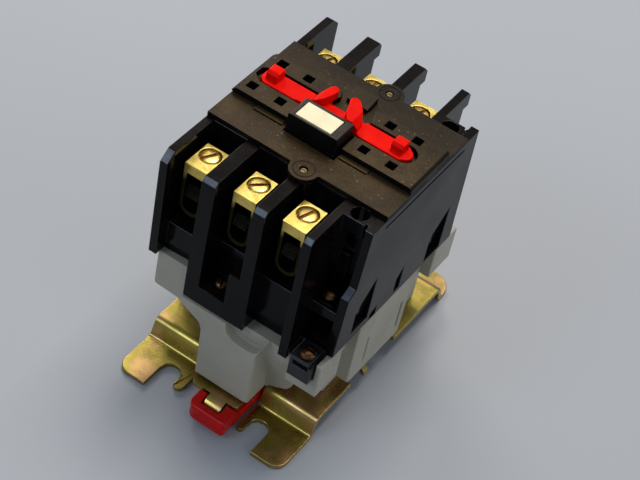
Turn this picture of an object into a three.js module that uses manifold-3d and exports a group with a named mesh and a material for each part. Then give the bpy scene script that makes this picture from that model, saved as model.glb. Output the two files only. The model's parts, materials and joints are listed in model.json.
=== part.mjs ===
// Three-pole contactor with screw-clamp terminals, on a sheet-metal mounting plate with a DIN rail clip.
// Millimetres. +X across the poles (auxiliary lane on +X), +Y from the DIN clip to the far end, +Z up from the panel.
// The origin is the middle of the footprint, on the mounting face.
import * as THREE from 'three';
import { mergeVertices } from 'three/addons/utils/BufferGeometryUtils.js';
import Module from 'manifold-3d';

const wasm = await Module();
wasm.setup();

// ---------------------------------------------------------------- driving dimensions
const HALF_W = 37.5;            // half of the 75 mm width
const Y_MID = -4.3;             // middle plane of the housing, before the shift
const Y_SHIFT = 6.8;            // moves the middle of the footprint to the origin
const SHEET = 2.0;              // mounting plate thickness
const DECK = 9.7;               // top of the raised deck of the plate
const FRONT_EAR = -67.8;        // front edge of the plate
const REAR_EAR = 56.4;          // rear edge of the plate
const SLOT_X = 20.0;            // fixing slots at +-20: 40 mm centres
const SLOT_W = 8.2;
const BASE_TOP = 46.2;          // seam between grey base and black housing
const HOUSE_TOP = 102.3;        // top of the black housing
const COVER_TOP = 104.5;        // low level of the top cover
const RAIL_TOP = 107.5;         // raised rail of the top cover
const HEAD_TOP = 112.6;         // top of the carrier head
const POLES = [-27.4, -7.0, 13.4];
const POLE_NAMES = ['left', 'centre', 'right'];
const SCREW_Y = -41.5;          // terminal screw centre
const CLAMP_TOP = 97.0;
const CLAMP_W = 9.5;
const CLAMP_Y0 = -49.8, CLAMP_Y1 = -36.5;
const REAR_CLAMP_END = 37.2;    // rear clamps are shorter, and are turned down further
const REAR_SCREW_Y = 31.7;
const REAR_DROP = 2.0;
const BAR_TOP = 87.0, BAR_T = 3.0, BAR_W = 5.8;
const TRAVEL = 6.0;             // carrier stroke
const MAG_X = -2.5;             // magnet centre
const GAP = 0.3;

// ---------------------------------------------------------------- solid helpers
function solid(geometry) {
  let g = geometry.index ? geometry : geometry.clone();
  g = g.clone();
  g.deleteAttribute('normal');
  g.deleteAttribute('uv');
  g = mergeVertices(g, 1e-4);
  return new wasm.Manifold(new wasm.Mesh({
    numProp: 3,
    vertProperties: new Float32Array(g.attributes.position.array),
    triVerts: new Uint32Array(g.index.array),
  }));
}
function geometryOf(m) {
  const mesh = m.getMesh();
  const g = new THREE.BufferGeometry();
  g.setAttribute('position', new THREE.BufferAttribute(new Float32Array(mesh.vertProperties), 3));
  g.setIndex(new THREE.BufferAttribute(new Uint32Array(mesh.triVerts), 1));
  g.computeVertexNormals();
  return g;
}
const box = (x0, x1, y0, y1, z0, z1) => {
  const g = new THREE.BoxGeometry(x1 - x0, y1 - y0, z1 - z0);
  g.translate((x0 + x1) / 2, (y0 + y1) / 2, (z0 + z1) / 2);
  return solid(g);
};
// cylinder along an axis: 'z' at (x, y), 'x' at (y, z), 'y' at (x, z)
const cyl = (r, a, b, lo, hi, axis = 'z', seg = 24, r2 = r) => {
  const g = new THREE.CylinderGeometry(r2, r, hi - lo, seg);
  const m = (lo + hi) / 2;
  if (axis === 'z') { g.rotateX(Math.PI / 2); g.translate(a, b, m); }
  if (axis === 'x') { g.rotateZ(-Math.PI / 2); g.translate(m, a, b); }
  if (axis === 'y') { g.translate(a, m, b); }
  return solid(g);
};
const shapeOf = (pts) => new THREE.Shape(pts.map(([u, v]) => new THREE.Vector2(u, v)));
const X = new THREE.Vector3(1, 0, 0), Y = new THREE.Vector3(0, 1, 0), Z = new THREE.Vector3(0, 0, 1);
const ext = (pts, d, holes = []) => {
  const s = pts.isShape ? pts : shapeOf(pts);
  for (const h of holes) s.holes.push(new THREE.Path(h.map(([u, v]) => new THREE.Vector2(u, v))));
  return new THREE.ExtrudeGeometry(s, { depth: d, bevelEnabled: false, steps: 1, curveSegments: 10 });
};
const plan = (pts, z0, z1, holes) => { const g = ext(pts, z1 - z0, holes); g.translate(0, 0, z0); return solid(g); };
const side = (pts, x0, x1, holes) => {         // (y, z) outline along X
  const g = ext(pts, x1 - x0, holes);
  g.applyMatrix4(new THREE.Matrix4().makeBasis(Y, Z, X));
  g.translate(x0, 0, 0);
  return solid(g);
};
const front = (pts, y0, y1, holes) => {        // (x, z) outline along Y
  const g = ext(pts, y1 - y0, holes);
  g.applyMatrix4(new THREE.Matrix4().makeBasis(X, Z, Y.clone().negate()));
  g.translate(0, y1, 0);
  return solid(g);
};
const join = (...s) => s.reduce((a, b) => a.add(b));
const cut = (a, ...s) => s.reduce((p, q) => p.subtract(q), a);
// mirror in the housing's middle plane
const mirrorY = (m) => {
  const mesh = m.getMesh();
  const v = new Float32Array(mesh.vertProperties);
  for (let i = 1; i < v.length; i += 3) v[i] = 2 * Y_MID - v[i];
  const t = new Uint32Array(mesh.triVerts);
  for (let i = 0; i < t.length; i += 3) { const k = t[i]; t[i] = t[i + 1]; t[i + 1] = k; }
  return new wasm.Manifold(new wasm.Mesh({ numProp: 3, vertProperties: v, triVerts: t }));
};
// strip of constant thickness around a centre line (u, v)
const strip = (line, t) => {
  const n = line.length, a = [], b = [];
  for (let i = 0; i < n; i++) {
    const p = line[Math.max(0, i - 1)], q = line[Math.min(n - 1, i + 1)];
    const dx = q[0] - p[0], dy = q[1] - p[1], l = Math.hypot(dx, dy);
    a.push([line[i][0] - dy / l * t / 2, line[i][1] + dx / l * t / 2]);
    b.push([line[i][0] + dy / l * t / 2, line[i][1] - dx / l * t / 2]);
  }
  return [...b, ...a.reverse()];
};
const arc = (cx, cy, r, a0, a1, n) => Array.from({ length: n + 1 }, (_, i) => {
  const a = (a0 + (a1 - a0) * i / n) * Math.PI / 180;
  return [cx + r * Math.cos(a), cy + r * Math.sin(a)];
});
// rounded plan rectangle
const rrect = (x0, x1, y0, y1, r, n = 4) => [
  ...arc(x0 + r, y0 + r, r, 180, 270, n), ...arc(x1 - r, y0 + r, r, 270, 360, n),
  ...arc(x1 - r, y1 - r, r, 0, 90, n), ...arc(x0 + r, y1 - r, r, 90, 180, n)];
// helical spring along Z from z0 to z1
const helix = (x, y, z0, z1, rCoil, rWire, turns, axis = 'z') => {
  const per = 8, n = Math.round(turns * per), pts = [];
  for (let i = 0; i <= n; i++) {
    const a = i / per * 2 * Math.PI, s = (z0 + rWire) + (z1 - z0 - 2 * rWire) * i / n;
    pts.push(axis === 'z' ? new THREE.Vector3(x + rCoil * Math.cos(a), y + rCoil * Math.sin(a), s)
      : new THREE.Vector3(x + rCoil * Math.cos(a), s, y + rCoil * Math.sin(a)));
  }
  const path = new THREE.CatmullRomCurve3(pts);
  const section = new THREE.Shape(Array.from({ length: 5 }, (_, i) => new THREE.Vector2(
    rWire * Math.cos(i * Math.PI * 0.4), rWire * Math.sin(i * Math.PI * 0.4))));
  return solid(new THREE.ExtrudeGeometry(section, { steps: n, bevelEnabled: false, extrudePath: path }));
};

// ---------------------------------------------------------------- materials
const mat = (color, roughness, metalness = 0) => new THREE.MeshStandardMaterial({ color, roughness, metalness });
const M = {
  black: mat(0x17181c, 0.42), cover: mat(0x2b2622, 0.55), base: mat(0x9a9892, 0.55), carrier: mat(0x121215, 0.45),
  latch: mat(0xe02a18, 0.35), clip: mat(0xc01018, 0.35), label: mat(0xeadfb8, 0.5), brass: mat(0xc8a24a, 0.3, 1),
  zinc: mat(0xb8a050, 0.35, 1), steel: mat(0x9a9a98, 0.35, 1), screw: mat(0x7a5a3a, 0.4, 1), copper: mat(0xa05a30, 0.4, 1),
  bobbin: mat(0x8a8478, 0.6), iron: mat(0x6a6a6c, 0.45, 1), rubber: mat(0x202020, 0.9), spring: mat(0xa8a8a4, 0.3, 1),
};

const group = new THREE.Group();
group.position.y = Y_SHIFT;
const put = (name, s, material) => {
  const mesh = new THREE.Mesh(geometryOf(s), material);
  mesh.name = name;
  group.add(mesh);
};

// ================================================================= mounting plate
{
  const mid = SHEET / 2, up = DECK - SHEET / 2;
  // joggle between ear and deck: two bends of 2.6 mm centre-line radius
  const joggle = (y, s) => {                   // y: middle of the joggle, s: +1 rising towards +Y
    const R = 2.6, A = 72, rad = A * Math.PI / 180, rise = up - mid;
    const bend = R * (1 - Math.cos(rad)), str = (rise - 2 * bend) / Math.sin(rad);
    const half = R * Math.sin(rad) + str * Math.cos(rad) / 2;
    const lower = arc(0, 0, R, -90, -90 + A, 5).map(([u, v]) => [-half + u, mid + R + v]);
    const upper = arc(0, 0, R, 90 + A, 90, 5).map(([u, v]) => [half + u, up - R + v]);
    return [...lower, ...upper].map(([u, v]) => [y + s * u, v]);
  };
  const line = [[FRONT_EAR, mid], ...joggle(-45.6, 1), ...joggle(44.2, -1).reverse(), [REAR_EAR, mid]];
  let p = side(strip(line, SHEET), -37, 37);
  // front: slots, fingers, and the space for the tongue and clip
  const r = SLOT_W / 2;
  for (const s of [-1, 1]) {
    p = cut(p, box(s * SLOT_X - r - 0.3 * (s < 0 ? 1 : 0), s * SLOT_X + r, -72, -57.2, -1, 4), cyl(r, s * SLOT_X, -57.2, -1, 4));
    p = cut(p, box(s * SLOT_X - r, s * SLOT_X + r, 51.2, 60, -1, 4), cyl(r, s * SLOT_X, 51.2, -1, 4));
  }
  p = cut(p, box(-12, 13.4, -72, -43.2, -1, 12), box(-16.6, -11, -72, -61.8, -1, 4), box(12, 16.6, -72, -61.8, -1, 4));
  // rounded outer corners
  for (const s of [-1, 1]) {
    const c = (y, yo, rr) => cut(box(s > 0 ? 37 - rr : -37.5, s > 0 ? 37.5 : -37 + rr, Math.min(y, yo), Math.max(y, yo), -1, 4),
      cyl(rr, s * (37 - rr), y, -2, 5, 'z', 28));
    p = cut(p, c(FRONT_EAR + 5, FRONT_EAR - 1, 5), c(REAR_EAR - 7.6, REAR_EAR + 1, 7.6));
    const f = s < 0 ? [-16.4, -12] : [13.4, 16.0];
    const fr = (f[1] - f[0]) / 2;
    p = cut(p, cut(box(f[0] - 1, f[1] + 1, -61.9, -61.8 + fr, -1, 4), cyl(fr, (f[0] + f[1]) / 2, -61.8 + fr, -2, 5),
      box(f[0] - 2, f[0], -63, -50, -2, 5), box(f[1], f[1] + 2, -63, -50, -2, 5)));
  }
  // rail window at both sides
  p = cut(p, box(20, 38, -22.5, 8, 5, 12), box(-38, -20, -22.5, 8, 5, 12));
  // tongue under the nose, with a lip curled down into the clip
  const tongue = plan([[-8.8, -42], [-8.8, -59.4], [-7.6, -60.9], [10.6, -60.9], [11.8, -59.7], [11.8, -42]], DECK - SHEET, DECK);
  const lip = side(strip([[-59.6, up], ...arc(-61, up - 4, 4, 90, 182, 8)], SHEET), 0.2, 7.2);
  p = join(p, tongue, lip);
  // fixed hooks for the far edge of the rail
  for (const x of [-17, 9]) p = join(p, side([[11.2, 8.2], [11.2, 5.2], [8.3, 5.2], [8.3, 3.2], [13.2, 3.2], [13.2, 8.2]], x, x + 8));
  // side tabs of the rail window, ends turned down
  for (const s of [-1, 1]) {
    const tab = front(strip([[18, up], [34.8, up], ...arc(34.6, up - 1.7, 1.7, 90, 0, 4), [36.3, 6.2]].map(([u, v]) => [s * u, v]), SHEET), -13.2, -10.2);
    p = join(p, tab);
  }
  put('mounting_plate', p, M.zinc);
}

// ================================================================= DIN rail clip and its spring
{
  const headPlan = [[-3.9, -61.4], [-3.9, -66.9], [-3.2, -68.4], [-1.9, -69.5], [-0.4, -70], [11.4, -70], [12.3, -69.7], [12.6, -69], [12.6, -61.4], [7.9, -61.4], [7.9, -66.3], [-0.5, -66.3], [-0.5, -61.4]];
  let c = plan(headPlan, 2.6, 9.0);
  c = cut(c, side([[-71, 9.1], [-71, 7.6], [-70.1, 7.6], [-69.0, 9.1]], -5, 14));
  c = join(c, box(-2.9, -0.5, -61.5, -38.4, 2.6, 7.3), box(7.9, 12.6, -61.5, -38.4, 2.6, 7.3), box(-2.9, 12.6, -42.0, -38.3, 2.6, 7.3));
  c = join(c, side([[-38.4, 2.6], [-38.4, 6.2], [-22.6, 6.2], [-21.4, 5.2], [-21.4, 4.0], [-36, 2.6]], 0.4, 9.4));
  put('din_clip', c, M.clip);
  put('din_clip_spring', helix(3.7, 5.0, -62.3, -42.3, 1.8, 0.32, 7, 'y'), M.spring);
}

// ================================================================= grey base
{
  const top = BASE_TOP, under = 44.2;
  let b = box(-31, 31, -33.2, 31, 10.0, top);
  // full-width upper part
  b = join(b, box(-33, 33, -44, 31, 31, top));
  const sidePanel = [[-28, top], [-28, 15.6], [-26.4, 14.6], [7.2, 13.6], [8.4, 15], [10.5, top]];
  b = join(b, side(sidePanel, 30, 37.3), side(sidePanel, -37.3, -30));
  // ends: nose, overhanging right flank, left shoulder, corner blocks
  const nose = front([[-20.5, under], [-20.5, 41.2], [-16.5, 39.4], [-11.6, 37.0], [-10.4, 34], [-9.6, 10.3], [12.6, 10.3], [13.2, 11], [13.4, 38], [16.0, under]], -58, -33);
  const flank = side([[-53.8, under], [-53.8, 39.6], [-52.6, 35.4], [-50.0, 29.0], [-47.4, 21.6], [-45.6, 14.6], [-45, 10.3], [-32, 10.3], [-32, under]], 13, 24.6);
  const flankCut = front([[14.2, 9], [14.6, 11.4], [17.3, 12.6], [22.0, 15.4], [24.0, 18.6], [24.8, 23], [26, 23], [26, 9]], -60, -30);
  const leftEnd = front([[-35, under], [-35, 38.4], [-34, 37.6], [-24.6, 37.2], [-13, 31.2], [-9, 26], [-9, under]], -53.8, -39.5);
  const cornerLow = (y1) => box(24, 37.3, -53.8, y1, 30.6, under);
  const frontEnd = join(nose, cut(flank, flankCut), leftEnd, cornerLow(-39.5));
  b = join(b, frontEnd, mirrorY(join(nose, cut(flank, flankCut), leftEnd)));
  b = join(b, box(24, 37.3, 24.5, 40, 30.6, under));
  // tops of the two ends rise beside the housing's lower blocks
  const shoulder = box(-35, -20.8, -53.8, -46.2, 40, 54.5);
  const corner = join(box(24.7, 37.3, -53.8, -39.5, 40, top), box(-36, 24.8, -46.0, -39.5, 40, top));
  b = join(b, shoulder, mirrorY(shoulder), corner, mirrorY(box(-36, 24.8, -46.0, -39.5, 40, top)), box(24.7, 37.3, 24.5, 40, 40, top));
  // coil terminal bays
  b = cut(b, box(25.6, 35.0, -60, -46.6, 38.1, 60), box(25.6, 35.0, 30.0, 42, 38.1, 60));
  // pocket with a dished floor in the nose, under the middle block
  const pocket = front([[-1, 50], [-0.6, 41.6], [0.4, 39.6], [2.4, 38.2], [5.4, 37.6], [9.6, 37.5], [12.2, 38.2], [14, 40], [15.2, 42.6], [16.1, 45], [16.1, 50]].reverse(), -59, -53.8);
  b = cut(b, pocket, mirrorY(pocket));
  // magnet well, open to the top
  b = cut(b, box(-28.6, 28.6, -30.6, 26.4, 12.4, 60));
  // recesses between the side panels and the corner blocks keep the walls in at 33; slots in the panels
  for (const s of [-1, 1]) {
    const q = (y0, y1, z0, z1) => (s > 0 ? box(36.2, 38, y0, y1, z0, z1) : box(-38, -36.2, y0, y1, z0, z1));
    b = cut(b, q(-18.9, -17.5, 19.5, 32.5), q(4.2, 5.6, 18.8, 33.2));
  }
  // screw holes into the ends
  const hole = cyl(1.95, -9.0, -50.5, 30, 50, 'z', 16);
  b = cut(b, hole, mirrorY(hole));
  put('base_housing', b, M.base);
}

// ================================================================= black contact housing
{
  const wallTop = HOUSE_TOP, floor = 67.5, bottom = 46.5, low = 44.5;
  const bev = (y0, zt) => [[-30, zt], [y0 + 1.8, zt], [y0, zt - 1.8]];
  // front end
  const leftWall = side([[-30, bottom], [-45.9, bottom], [-45.9, 54.8], [-56.4, 54.8], [-57.2, 99.2], [-53.2, 102.6], [-30, 102.6]].reverse(), -HALF_W, -34.3);
  const slabLeft = join(box(-36, -20.3, -51, -30, 54.8, floor), box(-36, -20.3, -45.9, -30, bottom, 56));
  const middle = join(box(-20.4, 5.6, -57, -46.4, low, floor), box(-20.4, 5.6, -46.5, -30, bottom, floor));
  const slabRight = join(box(5, 24.4, -49.6, -46.4, low, floor), box(5, 24.4, -46.5, -30, bottom, floor));
  const barrier = (x0, x1) => side([...bev(-56.8, wallTop), [-57, low], [-46.4, low], [-46.4, bottom], [-30, bottom]].reverse(), x0, x1);
  const b12 = join(side([...bev(-56.8, wallTop), [-57, 60], [-30, 60]].reverse(), -20.4, -14.7));
  const b23 = side([...bev(-56.8, wallTop), [-57, 60], [-30, 60]].reverse(), 0.7, 5.6);
  const b3 = barrier(21.0, 24.4);
  const boss = join(cyl(5.3, 3.4, -31.2, 60, wallTop, 'z', 28), box(-1.9, 8.7, -31.2, -29, 60, wallTop));
  const rearWall = side([[21, bottom], [33.9, bottom], [31.2, 102.6], [21, 102.6]], 34.2, HALF_W);
  const rightWall = side([[-30, bottom], [-47.5, bottom], [-45.8, 74.4], [-41.6, 77], [-39.7, 102.6], [-30, 102.6]].reverse(), 34.2, HALF_W);
  const laneBlock = join(box(24.2, 34.4, -36.5, -30, bottom, wallTop), box(24.2, 33.0, -37.8, -30, 96, wallTop), box(33.6, 34.4, -37.4, -30, 96, wallTop));
  const laneFloor = box(24.2, 34.4, -46.2, -30, bottom, 50.2);
  const shelf = box(24.2, 34.4, -46.0, -36, 61.5, 66.0);
  let end = join(leftWall, slabLeft, middle, slabRight, b12, b23, b3, boss, laneBlock, shelf);
  // screw pocket in the middle block
  end = cut(end, box(-14.7, -3.8, -60, -46, 52.5, 70));
  // the rear barriers step in below their tops
  const rearEnd = cut(mirrorY(end), box(-30, 24.5, 44.4, 50, 68.5, 95.3), box(25, 38, 44.4, 50, 68.5, 95.3));
  let h = join(box(-HALF_W, HALF_W, -31, 2 * Y_MID + 31, bottom, wallTop), end, rearEnd, rightWall, rearWall, laneFloor, box(24.2, 34.4, 21, 29.9, bottom, 50.2));
  // arc chambers and the magnet space below them
  h = cut(h, box(-34.2, 34.2, -28, 19.4, 65, 110), box(-29.5, 29.5, -28, 19.4, 40, 62));
  const gap = [-10.4, 1.8];
  for (const [x0, x1] of [[-20.4, -14.7], [0.7, 5.6], [21.0, 24.4]])
    h = join(h, box(x0, x1, -28.2, gap[0], 64.8, wallTop), box(x0, x1, gap[1], 19.6, 64.8, wallTop));
  h = cut(h, box(-11, 6, -10.4, 1.8, 60, 67), box(-13.2, 8.6, -20.6, -8.5, 93.8, 110));
  // access holes over the auxiliary lane, housing screw holes and cover screw holes
  const access = cyl(3.3, 28.7, -33.9, 88, 110, 'z', 20), fixing = cyl(1.95, -9.0, -50.5, 40, 60, 'z', 16);
  h = cut(h, access, mirrorY(access), fixing, mirrorY(fixing), cyl(1.55, 3.4, -31.5, 86, 110, 'z', 16), cyl(1.55, 4.0, 22.9, 86, 110, 'z', 16));
  // slots for the fixed contacts
  for (const p of POLES) {
    const slot = box(p - BAR_W / 2 - GAP, p + BAR_W / 2 + GAP, -33, -27, BAR_TOP - BAR_T - GAP, BAR_TOP + GAP);
    h = cut(h, slot, mirrorY(slot));
  }
  const auxSlot = box(26.4, 30.8, -37.5, -27, 84.2, 86.6);
  h = cut(h, auxSlot, mirrorY(auxSlot));
  // snap notches and slits in the side walls
  const notches = (s) => {
    const q = (pts) => (s > 0 ? side(pts, 35.6, 38.5) : side(pts, -38.5, -35.6));
    return [q([[-36.5, 50.6], [-26.2, 50.6], [-26.2, 70.5], [-36.5, 61.5]]), q([[14.0, 47.9], [24.6, 47.9], [24.6, 68.4], [14.0, 60.5]]),
      q([[-7.7, 48.8], [-4.2, 48.8], [-4.2, 59.4], [-7.7, 55.5]]), q([[-23.8, 47.2], [-20, 47.2], [-20, 51.5], [-23.8, 49.8]])];
  };
  h = cut(h, ...notches(1), ...notches(-1));
  // shallow groove line below the top edge
  for (const s of [-1, 1]) h = cut(h, s > 0 ? box(37.0, 38, -30.6, 22, 98.6, 99.3) : box(-38, -37.0, -30.6, 22, 98.6, 99.3));
  put('contact_housing', h, M.black);
}

// ================================================================= top cover
{
  const z0 = HOUSE_TOP + 0.3;
  const bossF = join(cyl(5.5, 3.4, -31.5, z0, COVER_TOP, 'z', 32));
  let c = join(box(-HALF_W, HALF_W, -31, 8.6, z0, COVER_TOP), box(-HALF_W, HALF_W, 8, 22.6, z0, 104.1), bossF,
    plan([[-3.8, -30], [-2.1, -31.6], [-1.0, -33.9], [7.8, -33.9], [8.9, -31.6], [10.6, -30]], z0, COVER_TOP),
    cyl(5.5, 4.0, 22.9, z0, 104.1, 'z', 32), plan([[-3.2, 22], [-1.5, 23.2], [-0.4, 25.2], [8.4, 25.2], [9.5, 23.2], [11.2, 22]], z0, 104.1));
  // raised rail, with chamfered ends and an undercut front edge
  const rail = front([[-HALF_W, z0], [HALF_W, z0], [HALF_W, 106.6], [HALF_W - 0.9, RAIL_TOP], [-HALF_W + 1.6, RAIL_TOP], [-HALF_W, 105.9]], -17, 8.5);
  c = join(c, rail);
  c = cut(c, box(-40, 40, -17.5, -16.4, COVER_TOP - 0.01, COVER_TOP + 0.9));
  // ledges in front of the rail
  c = join(c, box(-26.6, -14.6, -19, -16, z0 + 1, 105.1), box(8.9, 20.7, -19, -16, z0 + 1, 105.1));
  // hollow under the rail for the carrier
  c = cut(c, box(-34, 34, -10.0, 1.4, z0 - 1, 104.3));
  // carrier head opening
  c = cut(c, box(-13.2, 8.6, -20.6, -8.5, z0 - 1, 112));
  // latch slot
  const slotPlan = [...arc(25.9, -3.45, 4.85, -90, 90, 8), [-31.6, 1.4], [-35.4, -1.4], [-35.4, -5.5], [-32, -8.3]];
  c = cut(c, plan(slotPlan, 105.0, 110));
  // trapezoid recess behind the latch, with the raised hook block in it
  c = cut(c, plan([[-8.8, 0], [9.2, 0], [7.2, 6.8], [4.6, 15.6], [-9.8, 15.6], [-6.2, 5.2]].reverse().map((p) => p), 105.0, 110));
  c = join(c, plan([[-4.8, 7.2], [4.2, 6.6], [3.6, 15.2], [-6.0, 15.2]], 104.0, 106.9));
  // square holes of the rail
  const sq = (x, y) => box(x - 1.8, x + 1.8, y - 1.8, y + 1.8, z0 - 1, 110);
  c = cut(c, sq(-32.4, -11.9), sq(-20.5, -11.9), sq(14.6, -11.9), sq(25.9, -11.9), sq(-31.2, 5.2), sq(-19.9, 5.2), sq(14.9, 5.2), sq(26.2, 5.2));
  // screw holes, with a shallow ring around each
  for (const [x, y, zt] of [[3.4, -31.5, COVER_TOP], [4.0, 22.9, 104.1]]) {
    c = cut(c, cyl(1.5, x, y, z0 - 1, 110, 'z', 16));
    c = cut(c, cut(cyl(4.1, x, y, zt - 0.25, zt + 1, 'z', 28), cyl(3.7, x, y, zt - 1, zt + 2, 'z', 28)));
  }
  put('arc_cover', c, M.cover);
  for (const [name, x, y] of [['cover_screw_front', 3.4, -31.5], ['cover_screw_rear', 4.0, 22.9]]) {
    let s = join(cyl(1.2, x, y, 90, 103.9, 'z', 14));
    s = cut(s, box(x - 2, x + 2, y - 0.25, y + 0.25, 103.4, 105));
    put(name, s, M.brass);
  }
}

// ================================================================= moving carrier with its label
{
  const y0 = -9.3, y1 = 0.7, top = 103.9;
  let c = box(-33.2, 33.2, y0, y1, 88, top);
  for (const x of POLES) c = cut(c, box(x - 4.6, x + 4.6, y0 - 1, y1 + 1, 93.3, 102.6));
  c = cut(c, box(25.2, 32.0, y0 - 1, y1 + 1, 93.3, 102.6));
  // stem to the armature, with spring flange and pin slot
  c = join(c, box(-10, 5, y0, y1, 57.6, 88.2), box(-10, 5, -23, 14.4, 57.6, 60.2));
  c = cut(c, box(-4.6, -0.4, y0 - 1, y1 + 1, 50, 66), cyl(1.8, -4.3, 61.6, -20, 20, 'x', 16));
  // head that stands out of the cover: the front arm is offset from the crossbar
  c = join(c, box(-12.6, 8.0, -19.9, -8.9, 100.4, 112.6), box(-12.6, 8.0, -9.4, y0 + 0.2, 100.4, top));
  c = cut(c, box(-10.5, 4.7, -19.2, -10.4, 111.2, 114));
  // chamfered head edges and finger ears
  c = cut(c, front([[-13, 113], [-13, 111.9], [-12.7, 111.9], [-12.0, 112.7], [-12.0, 113]], -21, -8), front([[8.4, 113], [7.4, 113], [7.4, 112.7], [8.1, 111.9], [8.4, 111.9]], -21, -8));
  c = join(c, front(rrect(-13.0, -12.4, 105.6, 109.4, 0.25, 2), -18.4, -13.6));
  // grip ribs at the right end of the front face
  for (let i = 0; i < 3; i++) c = cut(c, box(4.6 + i * 1.2, 5.1 + i * 1.2, -20.2, -19.5, 105, 111.6));
  put('contact_carrier', c, M.carrier);
  put('indicator_label', box(-10.2, 4.4, -18.9, -10.7, 111.5, 112.9), M.label);
}

// ================================================================= add-on latch
{
  const z0 = 105.3;
  const strip1 = plan([[-33.4, -5.6], [-31.0, -7.7], [-17.4, -7.7], [-17, -7.2], [9, -7.2], [9, -7.6], [26, -7.6], ...arc(26, -3.5, 3.3, -70, 70, 6), [26, 0.6], [8, 0.6], [8, -0.2], [-13, -0.2], [-13.6, 0.4], [-31.0, 0.4], [-33.4, -1.4]], z0, RAIL_TOP);
  const tab = (x0, x1) => {
    const t = box(x0, x1, -5.4, -0.3, RAIL_TOP - 0.5, 111.0);
    return cut(t, side([[-5.6, 111.2], [-5.6, 109.6], [-4.0, 111.2]].reverse(), x0 - 1, x1 + 1));
  };
  // curved finger wings, rounded at the tip
  const wing = (pts) => cut(plan(pts, z0, 111.3), box(-20, 20, 1.0, 10, 100, 107.9));
  const wl = wing([[-13.4, -6.4], [-10.2, -7.0], [-8.2, -3.6], [-6.9, 0.4], [-6.4, 3.2], [-7.2, 4.7], [-8.8, 4.9], [-9.9, 3.8], [-10.6, 0.6], [-11.8, -2.8]]);
  const wr = wing([[8.3, -6.8], [3.6, -7.4], [1.0, -3.6], [-0.4, 0.4], [-1.4, 3.0], [-0.9, 4.5], [0.6, 5.1], [2.4, 4.2], [4.8, 1.4], [7.4, -2.4]].reverse());
  let l = join(strip1, tab(-31.5, -26.6), tab(21.1, 25.9), wl, wr);
  // the wings fall away towards the ends
  l = cut(l, front([[-14.5, 114], [-14.5, 107.8], [-10.4, 111.4], [-10.4, 114]].reverse(), -8, 6));
  l = cut(l, front([[9.0, 114], [5.4, 114], [5.4, 111.4], [9.0, 108.4]], -8, 6));
  // clear of the carrier head
  l = cut(l, box(-13.1, 8.5, -9, -8.4, 100, 120));
  put('addon_latch', l, M.latch);
}

// ================================================================= terminals
const slotTurn = [62, 45, 71], rearSlotTurn = [70, 90, 70];
for (let k = 0; k < 3; k++) {
  const x = POLES[k];
  const w = CLAMP_W / 2;
  // clamp: thick top plate, two legs and a rounded strap below; screw with a flat slotted head and a plain point
  const iw = w - 1.4;
  const clampAndScrew = (sy, y0, d, turn) => {
    const outer = [[-w, CLAMP_TOP], [-w, 78.8], ...arc(0, 78.6, w, 180, 360, 12), [w, 78.8], [w, CLAMP_TOP]].map(([u, v]) => [x + u, v - d]);
    const inner = [[-iw, 92.5], [-iw, 79], ...arc(0, 78.9, iw, 180, 360, 12), [iw, 79], [iw, 92.5]].map(([u, v]) => [x + u, v - d]);
    let clamp = cut(front(outer, y0, CLAMP_Y1), front(inner, y0 - 1, CLAMP_Y1 + 1));
    clamp = cut(clamp, cyl(2.7, x, sy, 90 - d, 100, 'z', 20), cyl(4.05, x, sy, 95.0 - d, 99, 'z', 28));
    // the strap below is narrower than the plate
    clamp = cut(clamp, box(x - 6, x + 6, CLAMP_Y1 - 3.2, CLAMP_Y1 + 1, 68, 92.5 - d));
    let screw = join(cyl(3.7, x, sy, 95.3 - d, 97.1 - d, 'z', 28), cyl(2.35, x, sy, 88.2, 95.4 - d, 'z', 16), cyl(1.5, x, sy, 87.4, 88.3, 'z', 16, 2.3));
    const t = turn * Math.PI / 180, sg = new THREE.BoxGeometry(9, 1.5, 2);
    sg.rotateZ(t); sg.translate(x, sy, 97.2 - d);
    return [clamp, cut(screw, solid(sg))];
  };
  const [clamp, screw] = clampAndScrew(SCREW_Y, CLAMP_Y0, 0, slotTurn[k]);
  const [rearClamp, rearScrew] = clampAndScrew(2 * Y_MID - REAR_SCREW_Y, 2 * Y_MID - REAR_CLAMP_END, REAR_DROP, -rearSlotTurn[k]);
  // fixed contact: serrated nose, bar through the wall, silver pad at the inner end
  const bar = side([[-14.6, BAR_TOP - BAR_T], [-14.6, BAR_TOP + 1.1], [-18.6, BAR_TOP + 1.1], [-18.6, BAR_TOP], [-47.4, BAR_TOP], [-48.4, 86.3], [-48.2, 85.7],
    [-49.3, 84.9], [-49.1, 84.3], [-50.2, 83.5], [-50.0, 82.4], [-46.6, 82.4], [-45.6, 84.0]], x - BAR_W / 2, x + BAR_W / 2);
  put(`terminal_clamp_${POLE_NAMES[k]}_front`, clamp, M.brass);
  put(`terminal_clamp_${POLE_NAMES[k]}_rear`, mirrorY(rearClamp), M.brass);
  put(`terminal_screw_${POLE_NAMES[k]}_front`, screw, M.brass);
  put(`terminal_screw_${POLE_NAMES[k]}_rear`, mirrorY(rearScrew), M.brass);
  put(`fixed_contact_${POLE_NAMES[k]}_front`, bar, M.brass);
  put(`fixed_contact_${POLE_NAMES[k]}_rear`, mirrorY(bar), M.brass);
  // moving contact bridge and its spring, in the carrier window
  let bridge = join(box(x - 3.1, x + 3.1, Y_MID - 15.2, Y_MID + 15.2, 93.6, 95.2), box(x - 2.6, x + 2.6, Y_MID - 14.8, Y_MID - 10.6, 92.4, 93.7), box(x - 2.6, x + 2.6, Y_MID + 10.6, Y_MID + 14.8, 92.4, 93.7));
  put(`moving_contact_${POLE_NAMES[k]}`, bridge, M.copper);
  put(`contact_spring_${POLE_NAMES[k]}`, helix(x, Y_MID, 95.5, 102.3, 2.3, 0.4, 4), M.spring);
}

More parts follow.
